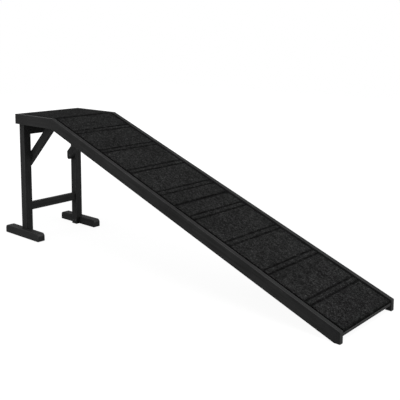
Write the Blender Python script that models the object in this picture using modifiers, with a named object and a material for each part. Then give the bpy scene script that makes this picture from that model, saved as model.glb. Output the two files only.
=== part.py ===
"""Dog ramp with a raised platform, a braced leg frame and a carpeted slope that folds at its middle.

The frame is +X from the platform to the toe, +Y to the left side and +Z up. The origin lies on the floor,
in the middle of the box around the whole ramp.
"""

import math

import bmesh
import bpy

# Overall sizes, in metres
height = 0.635  # floor to the top of the platform's side rails
length = 1.880  # platform's end to the toe, along the floor
width = 0.400  # over the side rails
platform_length = 0.305  # platform's end to the kink
seam_at = 0.833  # kink to the folding seam, along the slope

# Side rails
rail_thickness = 0.019
rail_height = 0.050
toe_trim = 0.009  # height that the floor cut takes off the rails' lower corner at the toe

# Deck and carpet
carpet_depth = 0.0025  # ramp carpet's top below the rails' tops
platform_carpet_depth = 0.0003  # and the platform's, nearly level with them
carpet_thickness = 0.0038
carpet_side_gap = 0.0085
carpet_end_gap = 0.004  # platform carpet's end to the end rail
carpet_kink_gap = 0.015  # its other end to the kink, an open channel across the ramp
deck_thickness = 0.006  # on the ramp; the platform's deck fills the height under its own carpet
deck_side_gap = 0.0006

# Tread battens under the ramp's carpet
batten_width = 0.020
batten_height = 0.0022
batten_end_gap = 0.004  # batten's end to the carpet's edge
battens_per_half = 4
upper_batten_start = 0.1495  # kink to the first batten's middle
upper_batten_pitch = 0.1945
lower_batten_start = 0.101  # seam to the first batten's middle
lower_batten_pitch = 0.1963

# Cross rails and ledgers under the deck
cross_rail_width = 0.038
toe_strip_thickness = 0.0095
toe_strip_setback = 0.004  # behind the rails' end at the toe; the carpet's nose above it is level
ledger_thickness = 0.019
ledger_height = 0.019

# Leg frame
post_size = 0.040  # legs' width across the ramp; feet are as wide and as high
leg_depth = 0.038  # and along it
leg_setback = 0.006  # leg's back face inside the platform's end
board_thickness = 0.022  # of the braces, the crossbar and the stretcher
board_width = 0.040
crossbar_gap = 0.016  # rails' underside to the crossbar's top
stretcher_bottom = 0.134
foot_length = 0.284
foot_back = 0.114  # foot's end beyond the platform's end
foot_top_radius = 0.016
foot_bottom_radius = 0.004
brace_angle = math.radians(45)
brace_end_setback = 0.0022  # brace's upright lower end, inside the platform's end
brace_end_drop = 0.274  # brace's lowest point, below the rails' tops
brace_end_radius = 0.0136  # rounds the lowest corner
brace_end_steps = 8
brace_screw_rise = 0.024  # lower screw above the brace's lowest point

# Hinges under the seam
hinge_drop = 0.003  # hinge axis below the rails
hinge_width = 0.070
hinge_spacing = 0.220  # between the two hinges' middles
leaf_length = 0.032
leaf_thickness = 0.0016
pin_radius = 0.0013
pin_overhang = 0.001
knuckles = 5

# Countersunk screws, driven outwards from the inner faces of the braces and the legs
screw_head_radius = 0.0042
screw_head_depth = 0.0032
screw_radius = 0.0021
screw_tip = 0.006
screw_steps = 12
brace_screw_length = 0.040
leg_screw_length = 0.050
foot_screw_length = 0.045
foot_screw_spacing = 0.018

# Clearances
touch = 0.0003  # between faces that touch
seam_gap = 0.0006  # between the two halves' ends

edge = 0.001  # eased edges of the boards
edge_steps = 2
round_steps = 6

# The slope: its floor cut takes toe_trim off the rails' lower corner
run = length - platform_length
reach = math.hypot(height + toe_trim, run)
slope = math.acos(rail_height / reach) - math.atan2(run, height + toe_trim)
rise_x = math.cos(slope)
fall_z = math.sin(slope)
toe_height = height - run * math.tan(slope)

# Depths below the rails' tops
carpet_bottom = carpet_depth + carpet_thickness
deck_top = carpet_bottom + touch
deck_bottom = deck_top + deck_thickness
platform_carpet_bottom = platform_carpet_depth + carpet_thickness
platform_deck_top = platform_carpet_bottom + touch
support_top = deck_bottom + touch
toe_strip_bottom = support_top + toe_strip_thickness
ledger_bottom = support_top + ledger_height
hinge_depth = rail_height + hinge_drop

# Places across the ramp
rail_outer = width / 2
rail_inner = rail_outer - rail_thickness
under_outer = rail_inner - touch
leg_inner = under_outer - post_size
frame_inner = leg_inner - touch
brace_inner = frame_inner - board_thickness
foot_inner = rail_outer - post_size
deck_outer = rail_inner - deck_side_gap
carpet_outer = rail_inner - carpet_side_gap

# Places along the ramp, from the platform's end
leg_front = leg_setback + leg_depth
leg_middle = leg_setback + leg_depth / 2
leg_top = height - support_top
crossbar_bottom = height - rail_height - crossbar_gap - board_width
brace_end = height - brace_end_drop
foot_front = foot_length - foot_back
deck_start = rail_thickness + touch
carpet_start = rail_thickness + carpet_end_gap
nose_end = length - toe_strip_setback
deck_end = nose_end - carpet_thickness - touch

middle_x = (length - foot_back) / 2
knuckle_radius = hinge_drop - touch


def clear_scene():
    for item in list(bpy.data.objects):
        bpy.data.objects.remove(item, do_unlink=True)


def make_collection(name):
    group = bpy.data.collections.new(name)
    bpy.context.scene.collection.children.link(group)
    return group


def make_material(name, colour, roughness, metallic=0.0):
    material = bpy.data.materials.new(name)
    material.use_nodes = True
    shader = material.node_tree.nodes["Principled BSDF"]
    shader.inputs["Base Color"].default_value = (*colour, 1.0)
    shader.inputs["Roughness"].default_value = roughness
    shader.inputs["Metallic"].default_value = metallic
    return material


clear_scene()
parts = make_collection("dog_ramp")
cutters = make_collection("cutters")

black_wood = ((0.012, 0.012, 0.013), 0.42)
bare_wood = ((0.30, 0.22, 0.14), 0.70)
carpet_cloth = ((0.020, 0.020, 0.022), 0.95)
black_steel = ((0.030, 0.030, 0.032), 0.40, 0.9)


def mitre(depth):
    """How far the mitre at the kink leans along either side, at a depth below the rails' tops."""
    return depth * math.tan(slope / 2)


def along_at(x, depth):
    """Distance along the slope where an upright plane at x meets a depth."""
    return (x - platform_length + depth * fall_z) / rise_x


def make_empty(name, x, z, tilt=0.0):
    empty = bpy.data.objects.new(name, None)
    empty.location = (x - middle_x, 0, z)
    empty.rotation_euler = (0, tilt, 0)
    parts.objects.link(empty)
    bpy.context.view_layer.update()
    return empty


# Each empty carries one straight stretch: local X runs along it and local Z is square to it
floor_frame = make_empty("floor_frame", 0, 0)
platform_frame = make_empty("platform_frame", 0, height)
slope_frame = make_empty("slope_frame", platform_length, height, slope)
fold_x = platform_length + seam_at * rise_x - hinge_depth * fall_z
fold_z = height - seam_at * fall_z - hinge_depth * rise_x
fold_frame = make_empty("fold_frame", fold_x, fold_z, slope)


def add_part(name, mesh, frame, look, place=(0, 0, 0)):
    part = bpy.data.objects.new(name, mesh)
    part.parent = frame
    part.location = place
    mesh.materials.clear()
    mesh.materials.append(make_material(name, *look))
    parts.objects.link(part)
    return part


def add_cutter(name, mesh, frame, place=(0, 0, 0)):
    cutter = bpy.data.objects.new(name, mesh)
    cutter.parent = frame
    cutter.location = place
    cutter.hide_render = True
    cutter.display_type = "WIRE"
    cutters.objects.link(cutter)
    return cutter


def cut(part, cutter):
    modifier = part.modifiers.new("cut", "BOOLEAN")
    modifier.operation = "DIFFERENCE"
    modifier.solver = "EXACT"
    modifier.object = cutter


def ease_edges(part, size=edge):
    modifier = part.modifiers.new("eased edges", "BEVEL")
    modifier.width = size
    modifier.segments = edge_steps
    modifier.limit_method = "ANGLE"
    modifier.angle_limit = math.radians(25)


def smooth(mesh, degrees=35):
    mesh.shade_smooth()
    mesh.set_sharp_from_angle(angle=math.radians(degrees))


def outline_mesh(name, loops, low, high):
    """Solid mesh of flat outlines in the XZ plane, reaching from low to high along Y."""
    curve = bpy.data.curves.new(name, "CURVE")
    curve.dimensions = "2D"
    curve.fill_mode = "BOTH"
    curve.extrude = (high - low) / 2
    for loop in loops:
        spline = curve.splines.new("POLY")
        spline.points.add(len(loop) - 1)
        for point, (x, z) in zip(spline.points, loop):
            point.co = (x, z, 0, 1)
        spline.use_cyclic_u = True
    drawn = bpy.data.objects.new(name, curve)
    parts.objects.link(drawn)
    bpy.context.view_layer.update()
    seen = drawn.evaluated_get(bpy.context.evaluated_depsgraph_get())
    mesh = bpy.data.meshes.new_from_object(seen)
    bpy.data.objects.remove(drawn)
    bpy.data.curves.remove(curve)
    solid = bmesh.new()
    solid.from_mesh(mesh)
    bmesh.ops.remove_doubles(solid, verts=solid.verts, dist=0.00001)
    for vertex in solid.verts:
        x, z, depth = vertex.co
        vertex.co = (x, (low + high) / 2 - depth, z)
    solid.normal_update()
    bmesh.ops.recalc_face_normals(solid, faces=solid.faces)
    if solid.calc_volume(signed=True) < 0:
        bmesh.ops.reverse_faces(solid, faces=solid.faces)
    if len(loops) == 1:
        bmesh.ops.dissolve_limit(solid, angle_limit=0.001, verts=solid.verts, edges=solid.edges)
    solid.to_mesh(mesh)
    solid.free()
    mesh.name = name
    return mesh


def box_mesh(name, low, high):
    mesh = bpy.data.meshes.new(name)
    solid = bmesh.new()
    bmesh.ops.create_cube(solid, size=1.0)
    for vertex in solid.verts:
        vertex.co = [a + (b - a) * (c + 0.5) for a, b, c in zip(low, high, vertex.co)]
    solid.to_mesh(mesh)
    solid.free()
    return mesh


def sides():
    """Names of the two sides and the direction of each along Y."""
    return (("right", -1), ("left", 1))


def across(inner, outer, side):
    """Low and high Y of a piece between two distances from the middle, on one side."""
    return sorted((inner * side, outer * side))


def local(frame, along, depth):
    """A place on a stretch, given along it and below the rails' tops, in its empty's own axes."""
    if frame is fold_frame:
        return (along - seam_at, hinge_depth - depth)
    return (along, -depth)


def add_strip(name, frame, corners, low, high, look=black_wood, eased=edge):
    """A piece with an outline of (along, depth) corners, reaching from low to high across the ramp."""
    loop = [local(frame, along, depth) for along, depth in corners]
    part = add_part(name, outline_mesh(name, [loop], low, high), frame, look)
    if eased:
        ease_edges(part, eased)
    return part


def platform_span(start, top, bottom, gap=touch / 2):
    """Corners of a platform piece that starts at start and ends at the mitre."""
    return [
        (start, top),
        (platform_length - mitre(top) - gap, top),
        (platform_length - mitre(bottom) - gap, bottom),
        (start, bottom),
    ]


def upper_span(top, bottom, gap=touch / 2):
    """Corners of an upper ramp piece from the mitre to the seam."""
    return [
        (mitre(top) + gap, top),
        (seam_at - seam_gap / 2, top),
        (seam_at - seam_gap / 2, bottom),
        (mitre(bottom) + gap, bottom),
    ]


def lower_span(top, bottom, end):
    """Corners of a lower ramp piece from the seam to an upright cut near the toe."""
    return [
        (seam_at + seam_gap / 2, top),
        (along_at(end, top), top),
        (along_at(end, bottom), bottom),
        (seam_at + seam_gap / 2, bottom),
    ]


def block(start, end, top, bottom):
    return [(start, top), (end, top), (end, bottom), (start, bottom)]


def add_rails():
    floor_x = platform_length + (height * rise_x - rail_height) / fall_z
    toe = [
        (along_at(length, 0), 0),
        (run * rise_x + height * fall_z, height * rise_x - run * fall_z),
        (along_at(floor_x, rail_height), rail_height),
    ]
    start = seam_at + seam_gap / 2
    lower = [(start, 0)] + toe + [(start, rail_height)]
    for side_name, side in sides():
        low, high = across(rail_inner, rail_outer, side)
        platform = platform_span(0, 0, rail_height)
        add_strip(f"platform_rail_{side_name}", platform_frame, platform, low, high)
        upper = upper_span(0, rail_height)
        add_strip(f"upper_ramp_rail_{side_name}", slope_frame, upper, low, high)
        add_strip(f"lower_ramp_rail_{side_name}", fold_frame, lower, low, high)


def add_decks():
    low, high = -deck_outer, deck_outer
    platform = platform_span(deck_start, platform_deck_top, deck_bottom)
    add_strip("platform_deck", platform_frame, platform, low, high, black_wood, 0)
    upper = upper_span(deck_top, deck_bottom)
    add_strip("upper_deck", slope_frame, upper, low, high, black_wood, 0)
    lower = lower_span(deck_top, deck_bottom, deck_end)
    add_strip("lower_deck", fold_frame, lower, low, high, black_wood, 0)


def batten_places():
    """Middle of each tread batten along the slope, for the upper and the lower half."""
    count = range(battens_per_half)
    upper = [upper_batten_start + upper_batten_pitch * i for i in count]
    lower = [seam_at + lower_batten_start + lower_batten_pitch * i for i in count]
    return upper, lower


def carpet_corners(start, end, places, nose=()):
    """Carpet with a rise over each batten: its top from start to end, its nose, then its underside back."""
    lean = batten_height * 0.45
    inner = batten_width / 2 + touch
    outer = inner + carpet_thickness * 0.75
    rise = batten_height + touch
    top = [start[0]]
    under = [start[1]]
    for place in places:
        top.append((place - outer - lean, carpet_depth))
        top.append((place - outer + lean / 2, carpet_depth - rise))
        top.append((place + outer - lean / 2, carpet_depth - rise))
        top.append((place + outer + lean, carpet_depth))
        under.append((place - inner, carpet_bottom))
        under.append((place - inner, carpet_bottom - rise))
        under.append((place + inner, carpet_bottom - rise))
        under.append((place + inner, carpet_bottom))
    top.append(end[0])
    under.append(end[1])
    return top + list(nose) + under[::-1]


def add_carpets():
    low, high = -carpet_outer, carpet_outer
    end = platform_length - carpet_kink_gap
    flat = block(carpet_start, end, platform_carpet_depth, platform_carpet_bottom)
    add_strip("platform_carpet", platform_frame, flat, low, high, carpet_cloth, 0)
    upper_places, lower_places = batten_places()
    corners = upper_span(carpet_depth, carpet_bottom)
    upper = carpet_corners((corners[0], corners[3]), (corners[1], corners[2]), upper_places)
    add_strip("upper_carpet", slope_frame, upper, low, high, carpet_cloth, 0)
    corners = lower_span(carpet_depth, carpet_bottom, nose_end)
    inside = deck_end + touch
    nose = [(along_at(nose_end, deck_bottom), deck_bottom), (along_at(inside, deck_bottom), deck_bottom)]
    under_end = (along_at(inside, carpet_bottom), carpet_bottom)
    lower = carpet_corners((corners[0], corners[3]), (corners[1], under_end), lower_places, nose)
    add_strip("lower_carpet", fold_frame, lower, low, high, carpet_cloth, 0)


def add_battens():
    high = carpet_outer - batten_end_gap
    top = carpet_bottom - batten_height
    upper_places, lower_places = batten_places()
    number = 1
    for frame, places in ((slope_frame, upper_places), (fold_frame, lower_places)):
        for place in places:
            start, end = place - batten_width / 2, place + batten_width / 2
            corners = block(start, end, top, carpet_bottom)
            add_strip(f"tread_batten_{number}", frame, corners, -high, high, bare_wood, 0)
            number += 1


def add_cross_rails():
    low, high = -under_outer, under_outer
    kink = [
        (mitre(support_top) + touch / 2, support_top),
        (mitre(rail_height) + cross_rail_width, support_top),
        (mitre(rail_height) + cross_rail_width, rail_height),
        (mitre(rail_height) + touch / 2, rail_height),
    ]
    add_strip("kink_cross_rail", slope_frame, kink, low, high)
    end = seam_at - seam_gap / 2
    upper = block(end - cross_rail_width, end, support_top, rail_height)
    add_strip("seam_rail_upper", slope_frame, upper, low, high)
    start = seam_at + seam_gap / 2
    lower = block(start, start + cross_rail_width, support_top, rail_height)
    add_strip("seam_rail_lower", fold_frame, lower, low, high)
    strip = [
        (toe_strip_start(), support_top),
        (along_at(nose_end, support_top), support_top),
        (along_at(nose_end, toe_strip_bottom), toe_strip_bottom),
        (toe_strip_start(), toe_strip_bottom),
    ]
    add_strip("toe_strip", fold_frame, strip, low, high)


def add_end_rail():
    """The end rail is level with the side rails, and its lower corners are cut out round the legs."""
    low_corner = (0, -under_outer, height - rail_height)
    mesh = box_mesh("end_rail", low_corner, (rail_thickness, under_outer, height))
    rail = add_part("platform_end_rail", mesh, floor_frame, black_wood)
    for side_name, side in sides():
        low, high = across(frame_inner, width, side)
        low_corner = (-post_size, low, 0)
        notch = box_mesh("notch", low_corner, (post_size, high, leg_top + touch))
        cut(rail, add_cutter(f"end_rail_notch_{side_name}", notch, floor_frame))
    ease_edges(rail)


def toe_strip_start():
    return along_at(nose_end, support_top) - cross_rail_width


def add_ledgers():
    upper_start = mitre(rail_height) + cross_rail_width + touch
    upper_end = seam_at - seam_gap / 2 - cross_rail_width - touch
    upper = block(upper_start, upper_end, support_top, ledger_bottom)
    lower_start = seam_at + seam_gap / 2 + cross_rail_width + touch
    lower = block(lower_start, toe_strip_start() - touch, support_top, ledger_bottom)
    platform = platform_span(leg_front + touch, support_top, rail_height)
    for side_name, side in sides():
        low, high = across(leg_inner, under_outer, side)
        add_strip(f"platform_ledger_{side_name}", platform_frame, platform, low, high)
        low, high = across(under_outer - ledger_thickness, under_outer, side)
        add_strip(f"upper_ledger_{side_name}", slope_frame, upper, low, high)
        add_strip(f"lower_ledger_{side_name}", fold_frame, lower, low, high)


def add_legs():
    """Each leg's outer half ends on the foot, and its inner half goes on to the floor."""
    for side_name, side in sides():
        low, high = across(leg_inner, under_outer, side)
        mesh = box_mesh("leg", (leg_setback, low, 0), (leg_front, high, leg_top))
        leg = add_part(f"leg_{side_name}", mesh, floor_frame, black_wood)
        low, high = across(foot_inner - touch, rail_outer, side)
        start, end = leg_setback - post_size, leg_front + post_size
        notch = box_mesh("notch", (start, low, -post_size), (end, high, post_size + touch))
        cut(leg, add_cutter(f"leg_notch_{side_name}", notch, floor_frame))
        ease_edges(leg)


def rounded(corners, radii):
    """Outline with each corner, taken in turn, rounded by its own radius."""
    points = []
    for i, (corner, radius) in enumerate(zip(corners, radii)):
        before = corners[i - 1]
        after = corners[(i + 1) % len(corners)]
        back = math.atan2(before[1] - corner[1], before[0] - corner[0])
        on = math.atan2(after[1] - corner[1], after[0] - corner[0])
        turn = (on - back + math.pi) % (2 * math.pi) - math.pi
        reach_to_middle = radius / math.sin(abs(turn) / 2)
        middle_angle = back + turn / 2
        middle = (corner[0] + reach_to_middle * math.cos(middle_angle),
                  corner[1] + reach_to_middle * math.sin(middle_angle))
        swing = math.pi - abs(turn)
        for step in range(round_steps + 1):
            share = step / round_steps - 0.5
            angle = middle_angle + math.pi - math.copysign(swing, turn) * share
            points.append((middle[0] + radius * math.cos(angle), middle[1] + radius * math.sin(angle)))
    return points


def add_feet():
    corners = [(-foot_back, 0), (foot_front, 0), (foot_front, post_size), (-foot_back, post_size)]
    radii = [foot_bottom_radius, foot_bottom_radius, foot_top_radius, foot_top_radius]
    loop = rounded(corners, radii)
    for side_name, side in sides():
        low, high = across(foot_inner, rail_outer, side)
        mesh = outline_mesh("foot", [loop], low, high)
        foot = add_part(f"foot_{side_name}", mesh, floor_frame, black_wood)
        ease_edges(foot)


def add_leg_boards():
    """The crossbar and the stretcher stand in the middle of the legs' depth."""
    back, front = leg_middle - board_thickness / 2, leg_middle + board_thickness / 2
    for name, bottom in (("top_crossbar", crossbar_bottom), ("stretcher", stretcher_bottom)):
        low = (back, -frame_inner, bottom)
        high = (front, frame_inner, bottom + board_width)
        board = add_part(name, box_mesh(name, low, high), floor_frame, black_wood)
        ease_edges(board)


def add_braces():
    """Each brace is cut upright behind the leg's inner face, and rises to end level under the deck."""
    cosine, sine = math.cos(brace_angle), math.sin(brace_angle)
    middle = (brace_end_setback + brace_end_radius, brace_end + brace_end_radius)
    rise = (board_width * sine - brace_end_radius) / cosine
    loop = [(brace_end_setback, brace_end + board_width * cosine + rise * sine)]
    for step in range(brace_end_steps + 1):
        angle = math.pi * (1 + 0.5 * step / brace_end_steps)
        x, z = brace_end_radius * math.cos(angle), brace_end_radius * math.sin(angle)
        loop.append((middle[0] + x, middle[1] + z))
    for x, z in (loop[-1], loop[0]):
        loop.append((x + (leg_top - z) / math.tan(brace_angle), leg_top))
    for side_name, side in sides():
        low, high = across(brace_inner, frame_inner, side)
        mesh = outline_mesh("brace", [loop], low, high)
        brace = add_part(f"brace_{side_name}", mesh, floor_frame, black_wood)
        ease_edges(brace)


def circle(radius, steps=24):
    turns = [2 * math.pi * i / steps for i in range(steps)]
    return [(radius * math.cos(turn), radius * math.sin(turn)) for turn in turns]


def leaf_outline(direction):
    """A leaf and its knuckle seen from the side: the plate's top is level with the knuckle's."""
    plate_under = knuckle_radius - leaf_thickness
    last = math.pi + math.asin(plate_under / knuckle_radius)
    first = math.pi / 2
    steps = 20
    loop = [(-leaf_length, knuckle_radius)]
    for i in range(steps + 1):
        angle = first - (first + last) * i / steps
        loop.append((knuckle_radius * math.cos(angle), knuckle_radius * math.sin(angle)))
    loop.append((-leaf_length, plate_under))
    return [(x * -direction, z) for x, z in loop]


def notch_mesh(name, low, own):
    """Boxes that clear the other leaf's knuckles out of this leaf."""
    pitch = hinge_width / knuckles
    clear = knuckle_radius + 2 * touch
    mesh = bpy.data.meshes.new(name)
    solid = bmesh.new()
    for i in range(knuckles):
        if i % 2 == own:
            continue
        start = low + pitch * i - (touch / 2 if i > 0 else pitch)
        end = low + pitch * (i + 1) + (touch / 2 if i < knuckles - 1 else pitch)
        made = bmesh.ops.create_cube(solid, size=1.0)["verts"]
        for vertex in made:
            x, y, z = vertex.co
            vertex.co = (2 * clear * x, start + (end - start) * (y + 0.5), 3 * clear * z)
    solid.to_mesh(mesh)
    solid.free()
    return mesh


def add_hinges():
    bore = circle(pin_radius + touch)
    for side_name, side in sides():
        middle = side * hinge_spacing / 2
        low, high = middle - hinge_width / 2, middle + hinge_width / 2
        for leaf_name, direction, own in (("upper", -1, 0), ("lower", 1, 1)):
            name = f"hinge_{leaf_name}_leaf_{side_name}"
            mesh = outline_mesh(name, [leaf_outline(direction), bore], low, high)
            smooth(mesh)
            leaf = add_part(name, mesh, fold_frame, black_steel)
            cutter_name = f"hinge_{leaf_name}_notches_{side_name}"
            notches = add_cutter(cutter_name, notch_mesh(cutter_name, low, own), fold_frame)
            cut(leaf, notches)
        name = f"hinge_pin_{side_name}"
        pin = outline_mesh(name, [circle(pin_radius, 16)], low - pin_overhang, high + pin_overhang)
        smooth(pin)
        add_part(name, pin, fold_frame, black_steel)


def turned(group_name, name, profile, frame, place, side):
    """A profile of (radius, height) points turned about an axis that points away from the middle."""
    mesh = bpy.data.meshes.new(name)
    drawn = bmesh.new()
    points = [drawn.verts.new((radius, 0, z)) for radius, z in profile]
    for a, b in zip(points, points[1:]):
        drawn.edges.new((a, b))
    drawn.to_mesh(mesh)
    drawn.free()
    if group_name == "part":
        item = add_part(name, mesh, frame, black_steel, place)
    else:
        item = add_cutter(name, mesh, frame, place)
    item.rotation_euler = (side * math.pi / 2, 0, 0)
    modifier = item.modifiers.new("turned", "SCREW")
    modifier.axis = "Z"
    modifier.steps = screw_steps
    modifier.render_steps = screw_steps
    modifier.use_merge_vertices = True
    modifier.merge_threshold = 0.00001
    modifier.use_smooth_shade = False
    return item


def add_screw(name, place, side, screw_length, members):
    """A countersunk screw that starts flush with a face, and its hole through both members."""
    neck = -touch - screw_head_depth
    profile = [
        (0, -touch),
        (screw_head_radius, -touch),
        (screw_radius, neck),
        (screw_radius, screw_tip - screw_length),
        (0, -screw_length),
    ]
    turned("part", name, profile, floor_frame, place, side)
    hole = [
        (0, 4 * touch),
        (screw_head_radius + 2 * touch, 4 * touch),
        (screw_head_radius + 2 * touch, -touch),
        (screw_radius + touch, neck - touch),
        (screw_radius + touch, -screw_length - touch),
        (0, -screw_length - touch),
    ]
    cutter = turned("cutter", f"{name}_hole", hole, floor_frame, place, side)
    for member in members:
        cut(parts.objects[member], cutter)


def add_screws():
    rail_middle = height - (support_top + rail_height) / 2
    clear_of_end_rail = (rail_thickness + leg_front) / 2
    for side_name, side in sides():
        leg, foot = f"leg_{side_name}", f"foot_{side_name}"
        brace, rail = f"brace_{side_name}", f"platform_rail_{side_name}"
        place = (leg_middle, side * brace_inner, brace_end + brace_screw_rise)
        add_screw(f"brace_foot_screw_{side_name}", place, side, brace_screw_length, (brace, leg))
        reach_up = rail_middle - brace_end - board_width / 2 * math.cos(brace_angle)
        low_x = brace_end_setback + brace_end_radius - board_width / 2 * math.sin(brace_angle)
        brace_middle = low_x + reach_up / math.tan(brace_angle)
        place = (brace_middle, side * brace_inner, rail_middle)
        ledger = f"platform_ledger_{side_name}"
        add_screw(f"brace_head_screw_{side_name}", place, side, brace_screw_length, (brace, ledger))
        place = (clear_of_end_rail, side * leg_inner, rail_middle)
        add_screw(f"leg_screw_{side_name}", place, side, leg_screw_length, (leg, rail))
        for number, offset in ((1, -0.5), (2, 0.5)):
            x = leg_middle + offset * foot_screw_spacing
            place = (x, side * leg_inner, post_size / 2)
            add_screw(f"foot_screw_{side_name}_{number}", place, side, foot_screw_length, (leg, foot))


def build():
    add_rails()
    add_decks()
    add_carpets()
    add_battens()
    add_cross_rails()
    add_end_rail()
    add_ledgers()
    add_legs()
    add_feet()
    add_leg_boards()
    add_braces()
    add_hinges()
    add_screws()


build()
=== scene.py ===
import math

import bmesh
import bpy
from mathutils import Matrix, Vector, noise


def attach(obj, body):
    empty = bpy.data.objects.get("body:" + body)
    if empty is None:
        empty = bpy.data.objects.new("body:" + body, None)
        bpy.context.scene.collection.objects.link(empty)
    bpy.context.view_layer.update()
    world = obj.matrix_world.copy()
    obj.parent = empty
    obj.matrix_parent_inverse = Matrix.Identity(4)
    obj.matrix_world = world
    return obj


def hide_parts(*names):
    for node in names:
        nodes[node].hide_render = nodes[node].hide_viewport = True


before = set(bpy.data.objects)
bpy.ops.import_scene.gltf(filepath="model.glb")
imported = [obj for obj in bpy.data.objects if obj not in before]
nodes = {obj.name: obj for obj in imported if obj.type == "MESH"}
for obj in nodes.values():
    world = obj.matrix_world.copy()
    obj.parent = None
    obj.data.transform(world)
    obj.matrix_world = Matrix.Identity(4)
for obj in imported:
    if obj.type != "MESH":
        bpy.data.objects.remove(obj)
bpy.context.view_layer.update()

scene = bpy.context.scene
print("frame loaded")


view = {
    "place": (2.0975, -2.1641, 1.0400),
    "turn": 41.432,  # degrees, from +Y towards -X
    "down": 7.164,
    "roll": 0.211,
    "lens": 61.776,
    "shiftY": -0.2,
}


def addCamera():
    data = bpy.data.cameras.new("camera")
    data.sensor_width = 36
    data.lens = view["lens"]
    data.shift_y = view["shiftY"]
    data.clip_start, data.clip_end = 0.05, 60
    camera = bpy.data.objects.new("camera", data)
    turn = Matrix.Rotation(math.radians(view["turn"]), 3, "Z")
    tip = Matrix.Rotation(math.radians(90 - view["down"]), 3, "X")
    roll = Matrix.Rotation(math.radians(view["roll"]), 3, "Z")
    camera.rotation_euler = (turn @ tip @ roll).to_euler()
    camera.location = view["place"]
    scene.collection.objects.link(camera)
    scene.camera = camera


addCamera()
scene.view_settings.view_transform = "Standard"
print("camera set")


# small helpers for the materials' nodes
def newMaterial(name):
    material = bpy.data.materials.new(name)
    material.use_nodes = True
    tree = material.node_tree
    return material, tree, tree.nodes["Principled BSDF"]


def addNode(tree, kind, **settings):
    node = tree.nodes.new(kind)
    for key, value in settings.items():
        setattr(node, key, value)
    return node


def objectSpace(tree, tilt=0.0, stretch=(1, 1, 1)):
    # the object's own axes, tilted about Y so that X runs along the piece, then stretched
    coordinates = addNode(tree, "ShaderNodeTexCoord")
    turned = addNode(tree, "ShaderNodeMapping")
    turned.inputs["Rotation"].default_value = (0, -tilt, 0)
    scaled = addNode(tree, "ShaderNodeMapping")
    scaled.inputs["Scale"].default_value = stretch
    tree.links.new(coordinates.outputs["Object"], turned.inputs["Vector"])
    tree.links.new(turned.outputs["Vector"], scaled.inputs["Vector"])
    return scaled.outputs["Vector"]


def addNoise(tree, vector, scale, detail=4.0, roughness=0.55):
    made = addNode(tree, "ShaderNodeTexNoise")
    made.inputs["Scale"].default_value = scale
    made.inputs["Detail"].default_value = detail
    made.inputs["Roughness"].default_value = roughness
    tree.links.new(vector, made.inputs["Vector"])
    return made.outputs["Fac"]


def addRamp(tree, value, stops):
    ramp = addNode(tree, "ShaderNodeValToRGB")
    elements = ramp.color_ramp.elements
    while len(elements) < len(stops):
        elements.new(0.5)
    for element, (place, shade) in zip(elements, stops):
        element.position = place
        colour = shade if isinstance(shade, tuple) else (shade, shade, shade)
        element.color = (*colour, 1)
    tree.links.new(value, ramp.inputs["Fac"])
    return ramp.outputs["Color"]


def addRange(tree, value, low, high, fromLow=0.3, fromHigh=0.7):
    made = addNode(tree, "ShaderNodeMapRange")
    made.inputs["From Min"].default_value = fromLow
    made.inputs["From Max"].default_value = fromHigh
    made.inputs["To Min"].default_value = low
    made.inputs["To Max"].default_value = high
    tree.links.new(value, made.inputs["Value"])
    return made.outputs["Result"]


def addBump(tree, height, strength, distance, after=None):
    bump = addNode(tree, "ShaderNodeBump")
    bump.inputs["Strength"].default_value = strength
    bump.inputs["Distance"].default_value = distance
    tree.links.new(height, bump.inputs["Height"])
    if after is not None:
        tree.links.new(after, bump.inputs["Normal"])
    return bump.outputs["Normal"]


def addMath(tree, operation, first, second):
    made = addNode(tree, "ShaderNodeMath", operation=operation)
    tree.links.new(first, made.inputs[0])
    tree.links.new(second, made.inputs[1])
    return made.outputs[0]


def largest(tree, first, second, third):
    return addMath(tree, "MAXIMUM", addMath(tree, "MAXIMUM", first, second), third)


def mixColours(tree, factor, first, second, blend="MIX"):
    mix = addNode(tree, "ShaderNodeMix", data_type="RGBA", blend_type=blend)
    for socket, value in ((mix.inputs["Factor"], factor), (mix.inputs[6], first), (mix.inputs[7], second)):
        if isinstance(value, (tuple, float, int)):
            socket.default_value = value
        else:
            tree.links.new(value, socket)
    return mix.outputs[2]


def multiplied(tree, first, second):
    return mixColours(tree, 1.0, first, second, "MULTIPLY")


def addShaderMix(tree, factor, first, second, output):
    mix = addNode(tree, "ShaderNodeMixShader")
    for socket, value in zip(mix.inputs, (factor, first, second)):
        tree.links.new(value, socket)
    tree.links.new(mix.outputs[0], tree.nodes[output].inputs["Surface"])


# satin black paint, brushed along the grain so that the wood still shows a little
blackPaint = {
    "dark": (0.0146, 0.0147, 0.0147),
    "light": (0.0212, 0.0213, 0.0213),
    "scuff": (0.034, 0.034, 0.034),
    # worn: paler paint on eased edges and rounded ends, partly wear and partly a painted highlight
    "worn": (0.048, 0.048, 0.048),
    "smooth": 0.54,
    "dull": 0.68,
    "specular": 0.05,
    "grainDepth": 0.00035,
}


# thin black stain on the decks, which show in the gaps beside the carpets and from below
deckStain = {
    "dark": (0.0035, 0.0035, 0.0036),
    "light": (0.0060, 0.0060, 0.0061),
    "scuff": (0.012, 0.011, 0.010),
    # worn: paler stain on eased edges, partly wear and partly a painted highlight
    "worn": (0.020, 0.018, 0.016),
    "smooth": 0.70,
    "dull": 0.85,
    "specular": 0.03,
    "grainDepth": 0.0005,
}


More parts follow.
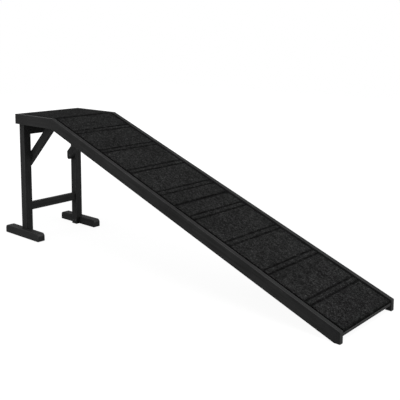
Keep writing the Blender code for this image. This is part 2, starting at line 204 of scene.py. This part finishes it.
# each layer's scale, detail and roughness; grain, brushed and rubbed are stretched along the grain
paintLayers = {
    "grain": (1.0, 7, 0.6),
    "brushed": (1.0, 3, 0.5),
    "brushedStretch": 4,  # finer than the grain
    "cloudy": (9.0, 3, 0.5),
    "peel": (900.0, 2, 0.5),
    "rubbed": (1.0, 6, 0.7),
    "rubbedStretch": 3,
    "streak": [(0.35, 0.62), (0.65, 1.08)],
    "scuffs": [(0.63, 0.0), (0.72, 1.0)],  # sparse dull rubs where it has been handled
    "wearAndHighlightRange": (0.35, 1.0),  # least and most that the paint on the edges is worn and lightened as a painted highlight
    "flatToEased": (0.985, 0.935),  # cosine of a face's turn away from the piece's flat sides
    "grainRelief": 0.5,  # reliefs are a strength and a depth; the grain's depth is the look's own
    "brushedRelief": (0.25, 0.0002),
    "peelRelief": (0.12, 0.00012),
}


def easedEdges(tree, tilt):
    # 0 on the piece's flat sides and 1 on faces turned away from them: eased edges and rounded ends
    facing = addNode(tree, "ShaderNodeTexCoord").outputs["Normal"]
    turned = addNode(tree, "ShaderNodeMapping", vector_type="VECTOR")
    turned.inputs["Rotation"].default_value = (0, -tilt, 0)
    tree.links.new(facing, turned.inputs["Vector"])
    both = addNode(tree, "ShaderNodeVectorMath", operation="MAXIMUM")
    for socket, vector in zip(both.inputs, (facing, turned.outputs["Vector"])):
        positive = addNode(tree, "ShaderNodeVectorMath", operation="ABSOLUTE")
        tree.links.new(vector, positive.inputs[0])
        tree.links.new(positive.outputs["Vector"], socket)
    split = addNode(tree, "ShaderNodeSeparateXYZ")
    tree.links.new(both.outputs["Vector"], split.inputs["Vector"])
    return addRange(tree, largest(tree, *split.outputs), 0.0, 1.0, *paintLayers["flatToEased"])


def paintedWood(name, tilt=0.0, stretch=(5, 95, 95), look=blackPaint):
    material, tree, shader = newMaterial(name)
    finer = tuple(paintLayers["brushedStretch"] * share for share in stretch)
    shorter = tuple(paintLayers["rubbedStretch"] * share ** 0.5 for share in stretch)
    grain = addNoise(tree, objectSpace(tree, tilt, stretch), *paintLayers["grain"])
    brushed = addNoise(tree, objectSpace(tree, tilt, finer), *paintLayers["brushed"])
    cloudy = addNoise(tree, objectSpace(tree, tilt), *paintLayers["cloudy"])
    peel = addNoise(tree, objectSpace(tree, tilt), *paintLayers["peel"])
    rubbed = addNoise(tree, objectSpace(tree, tilt, shorter), *paintLayers["rubbed"])
    tone = addRamp(tree, cloudy, [(0.3, look["dark"]), (0.7, look["light"])])
    painted = multiplied(tree, tone, addRamp(tree, grain, paintLayers["streak"]))
    scuffs = addRamp(tree, rubbed, paintLayers["scuffs"])
    colour = mixColours(tree, scuffs, painted, (*look["scuff"], 1))
    handled = addRange(tree, cloudy, *paintLayers["wearAndHighlightRange"])
    # eased edges and rounded ends are painted paler: worn paint and a painted highlight
    edgeWearAndHighlight = addMath(tree, "MULTIPLY", easedEdges(tree, tilt), handled)
    colour = mixColours(tree, edgeWearAndHighlight, colour, (*look["worn"], 1))
    tree.links.new(colour, shader.inputs["Base Color"])
    tree.links.new(addRange(tree, grain, look["smooth"], look["dull"]), shader.inputs["Roughness"])
    shader.inputs["Specular IOR Level"].default_value = look["specular"]
    relief = addBump(tree, grain, paintLayers["grainRelief"], look["grainDepth"])
    relief = addBump(tree, brushed, *paintLayers["brushedRelief"], relief)
    relief = addBump(tree, peel, *paintLayers["peelRelief"], relief)
    tree.links.new(relief, shader.inputs["Normal"])
    return material


# bare pine of the battens under the carpet
bareWood = {
    "early": (0.42, 0.29, 0.17),
    "late": (0.25, 0.15, 0.08),
    "grain": (1.0, 8, 0.62),
    "pores": (1.0, 4, 0.6),
    "poresStretch": 5,
    "poresShade": [(0.35, 0.72), (0.5, 1.0)],
    "roughness": (0.62, 0.80),
    "relief": (0.4, 0.0004),
}


def plainWood(name, tilt=0.0, stretch=(5, 70, 70)):
    material, tree, shader = newMaterial(name)
    finer = tuple(bareWood["poresStretch"] * share for share in stretch)
    grain = addNoise(tree, objectSpace(tree, tilt, stretch), *bareWood["grain"])
    pores = addNoise(tree, objectSpace(tree, tilt, finer), *bareWood["pores"])
    late, early = bareWood["late"], bareWood["early"]
    colour = addRamp(tree, grain, [(0.30, late), (0.52, early), (0.72, late)])
    specks = addRamp(tree, pores, bareWood["poresShade"])
    tree.links.new(multiplied(tree, colour, specks), shader.inputs["Base Color"])
    tree.links.new(addRange(tree, grain, *bareWood["roughness"]), shader.inputs["Roughness"])
    tree.links.new(addBump(tree, grain, *bareWood["relief"]), shader.inputs["Normal"])
    return material


# black steel of the hinges and screws
blackSteel = {
    "colour": [(0.35, (0.020, 0.020, 0.021)), (0.68, (0.045, 0.045, 0.047))],
    "cloudy": (160.0, 5, 0.6),
    "grit": (2600.0, 2, 0.5),
    "roughness": (0.30, 0.50),
    "metallic": 0.85,
    "relief": (0.25, 0.0001),
}


def coatedSteel(name):
    material, tree, shader = newMaterial(name)
    cloudy = addNoise(tree, objectSpace(tree), *blackSteel["cloudy"])
    grit = addNoise(tree, objectSpace(tree), *blackSteel["grit"])
    tree.links.new(addRamp(tree, cloudy, blackSteel["colour"]), shader.inputs["Base Color"])
    tree.links.new(addRange(tree, cloudy, *blackSteel["roughness"]), shader.inputs["Roughness"])
    shader.inputs["Metallic"].default_value = blackSteel["metallic"]
    tree.links.new(addBump(tree, grit, *blackSteel["relief"]), shader.inputs["Normal"])
    return material


slope = math.radians(20.5553)  # the ramp's fall
paints = {
    "level": paintedWood("blackPaintAlong"),
    "ramp": paintedWood("blackPaintRamp", slope),
    "across": paintedWood("blackPaintAcross", slope, (95, 5, 95)),
    "upright": paintedWood("blackPaintUpright", 0.0, (95, 95, 5)),
    "brace": paintedWood("blackPaintBrace", math.radians(-45)),
    "batten": plainWood("battenWood", 0.0, (70, 5, 70)),
    "deck": paintedWood("deckStain", slope, (5, 60, 60), deckStain),
    "steel": coatedSteel("hingeSteel"),
}
finishes = [
    ("platform_rail", "level"), ("platform_ledger", "level"), ("foot_screw", "steel"), ("foot", "level"),
    ("platform_deck", "deck"), ("platform_end_rail", "across"), ("upper_ramp_rail", "ramp"),
    ("lower_ramp_rail", "ramp"), ("upper_ledger", "ramp"), ("lower_ledger", "ramp"), ("upper_deck", "deck"),
    ("lower_deck", "deck"), ("kink_cross_rail", "across"), ("seam_rail", "across"), ("toe_strip", "across"),
    ("leg_screw", "steel"), ("leg", "upright"), ("top_crossbar", "across"), ("stretcher", "across"),
    ("brace_foot_screw", "steel"), ("brace_head_screw", "steel"), ("brace", "brace"), ("hinge", "steel"),
    ("tread_batten", "batten"),
]


def finishOf(nodeName):
    for start, finish in finishes:
        if nodeName.startswith(start):
            return paints[finish]
    return None  # the carpets, which are made below


for nodeName, node in nodes.items():
    chosen = finishOf(nodeName)
    if chosen is not None:
        node.data.materials.clear()
        node.data.materials.append(chosen)
print("frame painted")


# one carpet on the platform and one on each half of the ramp, each a closed sheet of short pile
carpet = {
    "platformEnd": -0.883,  # x of the platform's end
    "platformLength": 0.305,
    "platformStart": 0.0230,  # carpet's edges from the platform's end
    "platformStop": 0.2900,
    "railTop": 0.635,
    "platformDepth": 0.0003,  # pile's top below the rails' tops on the platform
    "depth": 0.0025,  # and on the ramp
    "seam": 0.833,  # kink to seam, along the slope
    "toe": 0.993,  # x of the nose
    "thickness": 0.0038,
    "noseDepth": 0.0126,  # how deep the nose is wrapped over the deck's end
    "noseRadius": 0.0048,
    "noseBackRadius": 0.0008,
    "noseBackReach": 0.0004,  # the back's play at the deck's end
    "noseTuck": 0.0016,  # how far the nose's lower edge rounds inwards
    "noseTuckFrom": 0.7,
    "noseSteps": 8,
    # painted shade on the nose, deeper as it turns down away from the light
    "noseArcShade": (0.35, 0.85),
    "noseFrontShade": 0.9,
    "noseFront": (0.35, 0.7, 0.88, 0.97, 1.0),
    "noseGap": 0.0002,  # between the last section on the slope and the arc
    "upperStart": 0.0017,  # from the mitre at the kink
    "halfWidth": 0.1725,
    "upperStrips": (0.1495, 0.3440, 0.5385, 0.7330),
    "lowerStrips": (0.9340, 1.1303, 1.3266, 1.5229),
    "battenHeight": 0.0022,
    "battenHalf": 0.0103,
    "backGap": 0.0003,  # between a batten and the carpet's back
    "backSlack": 0.0012,
    "backEase": 0.001,
    "hump": 0.0004,  # pile's rise over a batten
    "humpHalf": 0.0085,
    "humpEase": 0.003,
    "groove": 0.0017,  # pressed or stitched line at either side of a batten
    "grooveAt": 0.0138,
    "grooveHalf": 0.0068,
    # the shade values below paint shade into the pile: in the grooves beside the battens, along the cut
    # edges, at the kink, the seam and the nose
    "grooveShade": 0.86,
    "grooveUneven": 0.55,  # how much its painted shade comes and goes across the carpet
    "seamHalf": 0.0044,
    "edgeRound": 0.0038,
    "edgeLeft": 0.0010,  # height left at a cut edge
    "edgeSeat": 0.30,  # share of the height left at the carpet's sides
    "edgeShade": 0.0075,  # how far in from a cut edge the pile has painted shade
    "edgeShadeShare": 1.0,
    "kinkShade": 0.0210,
    "kinkShadeShare": 0.62,
    "seamShade": 0.0075,
    "seamShadeShare": 0.74,
    "noseShade": 0.0090,
    "noseShadeShare": 0.35,
    "panelStep": 0.0050,
    "stripStep": 0.0011,
    "acrossStep": 0.0055,
    "rough": 0.00045,
    "roughWaves": ((110, 0.55), (260, 0.45)),  # scale and share of each
    "roughMiddle": 0.4,
    "unevenAlong": 25,  # waves of the folds' unevenness
    "unevenAcross": 38,
    "unevenMiddle": 0.15,
    "sharpAngle": 70,
}
carpetBottom = carpet["depth"] + carpet["thickness"]


def slopePoint(along, depth):
    x = carpet["platformEnd"] + carpet["platformLength"] + along * math.cos(slope) - depth * math.sin(slope)
    z = carpet["railTop"] - along * math.sin(slope) - depth * math.cos(slope)
    return Vector((x, 0, z))


def levelPoint(along, depth):
    return Vector((carpet["platformEnd"] + along, 0, carpet["railTop"] - depth))


def eased(share):
    share = min(1.0, max(0.0, share))
    return share * share * (3 - 2 * share)


def stripShape(along, strips):
    # rise of the pile, rise of its back, and the painted shade of this place in a groove
    for middle in strips:
        away = abs(along - middle)
        if away < carpet["grooveAt"] + carpet["grooveHalf"]:
            ease = carpet["humpEase"]
            rise = carpet["hump"] * eased((carpet["humpHalf"] + ease / 2 - away) / ease)
            dip = max(0.0, 1 - ((away - carpet["grooveAt"]) / carpet["grooveHalf"]) ** 2)
            lifted = eased((carpet["battenHalf"] + carpet["backSlack"] - away) / carpet["backEase"])
            back = (carpet["battenHeight"] + carpet["backGap"]) * lifted
            return rise - carpet["groove"] * dip, back, carpet["grooveShade"] * dip
    return 0.0, 0.0, 0.0


def places(start, end, strips):
    # places along a carpet: close together at its ends and over the strips, wide on the panels
    rounds = [carpet["edgeRound"] * share for share in (0, 0.15, 0.4, 0.7, 1)]
    found = [start + away for away in rounds] + [end - away for away in rounds]
    reach = carpet["grooveAt"] + carpet["grooveHalf"]
    stops = [start + rounds[-1]]
    for middle in strips:
        count = math.ceil(2 * reach / carpet["stripStep"])
        found += [middle - reach + 2 * reach * i / count for i in range(count + 1)]
        stops += [middle - reach, middle + reach]
    stops.append(end - rounds[-1])
    for low, high in zip(stops[::2], stops[1::2]):
        count = math.ceil((high - low) / carpet["panelStep"])
        found += [low + (high - low) * i / count for i in range(1, count)]
    return sorted(set(round(place, 6) for place in found))


def roundedEdge(away):
    # share of the full height at a distance in from a cut edge
    share = min(1.0, max(0.0, away / carpet["edgeRound"]))
    return math.sqrt(1 - (1 - share) ** 2)


# painted shade in from a cut edge, the kink, the seam or the nose
def paintedEdgeShade(away, kind="edge"):
    return carpet[kind + "ShadeShare"] * (1 - eased(away / carpet[kind + "Shade"]))


def sectionsOf(start, end, strips, place, depth, startKind, endKind):
    # (pile's point, back's point, shade) along the carpet; shade is the painted shade at a fold or an edge
    sections = []
    for along in places(start, end, strips):
        rise, back, fold = stripShape(along, strips)
        edgeShare = roundedEdge(along - start)
        if endKind != "nose":
            edgeShare = min(edgeShare, roundedEdge(end - along))
        shade = max(fold, paintedEdgeShade(along - start, startKind), paintedEdgeShade(end - along, endKind))
        drop = (1 - edgeShare) * (carpet["thickness"] - carpet["edgeLeft"] + rise)
        bottom = depth + carpet["thickness"] - back
        sections.append((place(along, depth - rise + drop), place(along, bottom), shade))
    return sections


def noseSections():
    # the lower carpet turns over the deck's end in an arc and goes down in front of it
    downhill = Vector((math.cos(slope), 0, -math.sin(slope)))
    upwards = Vector((math.sin(slope), 0, math.cos(slope)))
    turn = math.pi / 2 - slope
    steps = carpet["noseSteps"]
    kink = carpet["platformEnd"] + carpet["platformLength"]
    backEnd = carpet["toe"] - carpet["thickness"] + carpet["noseBackReach"]
    made = []
    tips = []
    for depth, x, radius in ((carpet["depth"], carpet["toe"], carpet["noseRadius"]),
                             (carpetBottom, backEnd, carpet["noseBackRadius"])):
        along = (x - kink + depth * math.sin(slope)) / math.cos(slope)
        back = radius * math.tan(turn / 2)
        middle = slopePoint(along, depth) - back * downhill - radius * upwards
        angles = [turn * (1 - step / steps) for step in range(steps + 1)]
        made.append([middle + radius * Vector((math.cos(angle), 0, math.sin(angle))) for angle in angles])
        tips.append(along - back)
    start = slopePoint(0, carpet["noseDepth"])
    low = start.z - (carpet["toe"] - start.x) * math.tan(slope)
    # painted shade on the nose, deeper as it turns down away from the light
    lightest, darkest = carpet["noseArcShade"]
    shades = [lightest + (darkest - lightest) * i / steps for i in range(steps + 1)]
    arcs = list(zip(*made, shades))
    front = []
    for share in carpet["noseFront"]:
        outer, inner = (arc[-1].lerp(Vector((arc[-1].x, 0, low)), share) for arc in made)
        past = min(1.0, max(0.0, share - carpet["noseTuckFrom"]) / (1 - carpet["noseTuckFrom"]))
        tuck = carpet["noseTuck"] * (1 - math.sqrt(1 - past ** 2))
        front.append((outer - Vector((tuck, 0, 0)), inner, carpet["noseFrontShade"]))
    return arcs + front, tips[0]


def makeCarpet(name, material, sections):
    half = carpet["halfWidth"]
    inFromEdge = [carpet["edgeRound"] * share for share in (0, 0.12, 0.4, 0.75)]
    flat = 2 * (half - carpet["edgeRound"])
    count = math.ceil(flat / carpet["acrossStep"])
    inner = [carpet["edgeRound"] - half + flat * i / count for i in range(count + 1)]
    across = [away - half for away in inFromEdge] + inner + [half - away for away in inFromEdge[::-1]]
    columns, rows = len(sections) - 1, len(across) - 1
    shape = bmesh.new()
    shadeLayer = shape.verts.layers.float.new("paintedShade")
    bmesh.ops.create_grid(shape, x_segments=columns, y_segments=rows, size=0.5)
    pile = bmesh.ops.extrude_face_region(shape, geom=list(shape.faces))["geom"]
    pile = {item for item in pile if isinstance(item, bmesh.types.BMVert)}
    for vertex in shape.verts:
        column = round((vertex.co.x + 0.5) * columns)
        y = across[round((vertex.co.y + 0.5) * rows)]
        outer, back, shade = sections[column]
        if vertex in pile:
            edgeShare = roundedEdge(half - abs(y))
            seat = back.lerp(outer, carpet["edgeSeat"] + (1 - carpet["edgeSeat"]) * edgeShare)
            spot = Vector((seat.x, y, seat.z))
            wave = sum(noise.noise(spot * scale) * share for scale, share in carpet["roughWaves"])
            lift = carpet["rough"] * (wave - carpet["roughMiddle"])
            vertex.co = spot + (outer - back).normalized() * lift
            # painted shade in the grooves varies across the carpet, and the sides get painted shade along
            # their cut edges; the underside is fully shaded
            place = Vector((outer.x * carpet["unevenAlong"], y * carpet["unevenAcross"], 0.5))
            uneven = noise.noise(place) - carpet["unevenMiddle"]
            fold = shade * min(1.0, 1 + carpet["grooveUneven"] * uneven)
            vertex[shadeLayer] = max(fold, paintedEdgeShade(half - abs(y)))
        else:
            vertex.co = (back.x, y, back.z)
            vertex[shadeLayer] = 1.0
    bmesh.ops.recalc_face_normals(shape, faces=shape.faces)
    if shape.calc_volume(signed=True) < 0:
        bmesh.ops.reverse_faces(shape, faces=shape.faces)
    mesh = bpy.data.meshes.new(name)
    shape.to_mesh(mesh)
    openEdges = sum(1 for edge in shape.edges if len(edge.link_faces) != 2)
    shape.free()
    mesh.shade_smooth()
    mesh.set_sharp_from_angle(angle=math.radians(carpet["sharpAngle"]))
    mesh.materials.append(material)
    piece = bpy.data.objects.new(name, mesh)
    scene.collection.objects.link(piece)
    flatLength = sum((b[0] - a[0]).length for a, b in zip(sections, sections[1:]))
    print(name, "has", len(mesh.polygons), "faces and", openEdges, "open edges")
    return piece, flatLength


carpetCloth = {
    "deep": (0.0094, 0.0096, 0.0096),
    "mid": (0.0293, 0.0297, 0.0296),
    "fleck": (0.0920, 0.0928, 0.0925),
    "tuft": 430.0,
    "tuftShade": [(0.15, 1.0), (0.75, 0.45)],
    "fibres": (1500.0, 3, 0.6),
    "clumps": (170.0, 4, 0.7),
    "brushed": (60.0, 4, 0.65),
    "brushedShade": [(0.40, 0.52), (0.60, 1.0)],
    "worn": (8.0, 3, 0.5),
    "wornShade": [(0.35, 0.80), (0.65, 1.0)],
    "roughness": 0.95,
    "sheen": 0.01,
    "paintedShadeLevel": 0.06,  # tone of the pile under full painted shade, as a share of its own
    "pileRelief": (0.9, 0.0018),
    "fibreRelief": (0.5, 0.0005),
}


def pileCarpet(name):
    material, tree, shader = newMaterial(name)
    vector = objectSpace(tree)
    tufts = addNode(tree, "ShaderNodeTexVoronoi", feature="F1")
    tufts.inputs["Scale"].default_value = carpetCloth["tuft"]
    tree.links.new(vector, tufts.inputs["Vector"])
    fibres, clumps, brushed, worn = (
        addNoise(tree, vector, *carpetCloth[layer]) for layer in ("fibres", "clumps", "brushed", "worn"))
    shades = [(0.36, carpetCloth["deep"]), (0.52, carpetCloth["mid"]), (0.72, carpetCloth["fleck"])]
    colour = addRamp(tree, clumps, shades)
    colour = multiplied(tree, colour, addRamp(tree, tufts.outputs["Distance"], carpetCloth["tuftShade"]))
    colour = multiplied(tree, colour, addRamp(tree, brushed, carpetCloth["brushedShade"]))
    colour = multiplied(tree, colour, addRamp(tree, worn, carpetCloth["wornShade"]))
    # painted shade: the pile is darkened by the carpet's own shade attribute, in the grooves, along cut
    # edges, at the kink, the seam and the nose
    paintedShade = addNode(tree, "ShaderNodeAttribute", attribute_name="paintedShade")
    level = carpetCloth["paintedShadeLevel"]
    shaded = multiplied(tree, colour, (level, level, level, 1))
    tree.links.new(mixColours(tree, paintedShade.outputs["Fac"], colour, shaded), shader.inputs["Base Color"])
    shader.inputs["Roughness"].default_value = carpetCloth["roughness"]
    shader.inputs["Specular IOR Level"].default_value = 0.0
    shader.inputs["Sheen Weight"].default_value = carpetCloth["sheen"]
    shader.inputs["Sheen Roughness"].default_value = 0.5
    height = addMath(tree, "SUBTRACT", clumps, tufts.outputs["Distance"])
    relief = addBump(tree, height, *carpetCloth["pileRelief"])
    relief = addBump(tree, fibres, *carpetCloth["fibreRelief"], relief)
    tree.links.new(relief, shader.inputs["Normal"])
    return material


carpetPile = pileCarpet("charcoalPile")
noseArc, noseStart = noseSections()
upperBattens = [f"tread_batten_{i}" for i in (1, 2, 3, 4)]
lowerBattens = [f"tread_batten_{i}" for i in (5, 6, 7, 8)]
platformSections = sectionsOf(carpet["platformStart"], carpet["platformStop"], (), levelPoint,
                              carpet["platformDepth"], "edge", "kink")
upperSections = sectionsOf(carpet["upperStart"], carpet["seam"] - carpet["seamHalf"], carpet["upperStrips"],
                           slopePoint, carpet["depth"], "seam", "seam")
lowerSections = sectionsOf(carpet["seam"] + carpet["seamHalf"], noseStart - carpet["noseGap"],
                           carpet["lowerStrips"], slopePoint, carpet["depth"], "seam", "nose") + noseArc
layers = {
    "platformCarpet": ("platform_carpet", "frame", ["platform_deck"], platformSections),
    "upperCarpet": ("upper_carpet", "frame", ["upper_deck"] + upperBattens, upperSections),
    "lowerCarpet": ("lower_carpet", "lower_ramp", ["lower_deck"] + lowerBattens, lowerSections),
}
for name, (node, body, under, sections) in layers.items():
    piece, flatLength = makeCarpet(name, carpetPile, sections)
    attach(piece, body)
    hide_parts(node)
    print(name, "laid, flat", round(2 * carpet["halfWidth"], 3), "x", round(flatLength, 3))


studio = {
    "floorSize": 16.0,
    "floorColour": (0.45, 0.45, 0.45),
    "floorGlow": 0.80,  # share of the plain white that the camera sees in the floor
    "fade": (1.3, 2.6),  # distances from the middle between which the floor goes over to plain white
    "glowLevel": 1.16,
    "worldColour": (0.97, 0.97, 0.97),
    "worldLevel": 0.68,
    "lamps": [  # place, target, size and power
        ("keyLamp", (2.1, -1.0, 4.2), (0, 0, 0.3), 2.2, 104.0),
        ("fillLamp", (-2.2, -3.2, 2.2), (0, 0, 0.3), 2.4, 64.0),
        ("rimLamp", (0.2, 3.0, 2.9), (0, 0, 0.3), 1.8, 6.0),
        ("frontLamp", (3.9, 1.8, 1.2), (-0.6, 0, 0.3), 2.2, 100.0),
    ],
}


def whiteRays(tree):
    # camera, mirror and glass rays all see the plain white surround
    path = addNode(tree, "ShaderNodeLightPath")
    return largest(tree, *(path.outputs[f"Is {kind} Ray"] for kind in ("Camera", "Glossy", "Transmission")))


def addFloor():
    mesh = bpy.data.meshes.new("floor")
    shape = bmesh.new()
    bmesh.ops.create_grid(shape, x_segments=1, y_segments=1, size=studio["floorSize"] / 2)
    shape.to_mesh(mesh)
    shape.free()
    floor = bpy.data.objects.new("floor", mesh)
    floor.location = (0, 0, -0.0005)
    scene.collection.objects.link(floor)
    material, tree, shader = newMaterial("floorWhite")
    shader.inputs["Base Color"].default_value = (*studio["floorColour"], 1)
    shader.inputs["Roughness"].default_value = 0.9
    shader.inputs["Specular IOR Level"].default_value = 0.1
    glow = addNode(tree, "ShaderNodeEmission")
    glow.inputs["Color"].default_value = (1, 1, 1, 1)
    glow.inputs["Strength"].default_value = studio["glowLevel"]
    coordinates = addNode(tree, "ShaderNodeTexCoord")
    away = addNode(tree, "ShaderNodeVectorMath", operation="LENGTH")
    tree.links.new(coordinates.outputs["Object"], away.inputs[0])
    glowing = addRange(tree, away.outputs["Value"], studio["floorGlow"], 1.0, *studio["fade"])
    share = addMath(tree, "MULTIPLY", whiteRays(tree), glowing)
    addShaderMix(tree, share, shader.outputs[0], glow.outputs[0], "Material Output")
    mesh.materials.append(material)


def addWorld():
    world = bpy.data.worlds.new("studioSky")
    world.use_nodes = True
    tree = world.node_tree
    soft = tree.nodes["Background"]
    soft.inputs["Color"].default_value = (*studio["worldColour"], 1)
    soft.inputs["Strength"].default_value = studio["worldLevel"]
    white = addNode(tree, "ShaderNodeBackground")
    white.inputs["Color"].default_value = (1, 1, 1, 1)
    white.inputs["Strength"].default_value = 1.0
    addShaderMix(tree, whiteRays(tree), soft.outputs[0], white.outputs[0], "World Output")
    scene.world = world


def addLamp(name, place, target, size, power):
    data = bpy.data.lights.new(name, "AREA")
    data.shape = "SQUARE"
    data.size = size
    data.energy = power
    lamp = bpy.data.objects.new(name, data)
    lamp.location = place
    lamp.rotation_euler = (Vector(target) - Vector(place)).to_track_quat("-Z", "Y").to_euler()
    scene.collection.objects.link(lamp)


addFloor()
addWorld()
for lamp in studio["lamps"]:
    addLamp(*lamp)
print("studio lit")
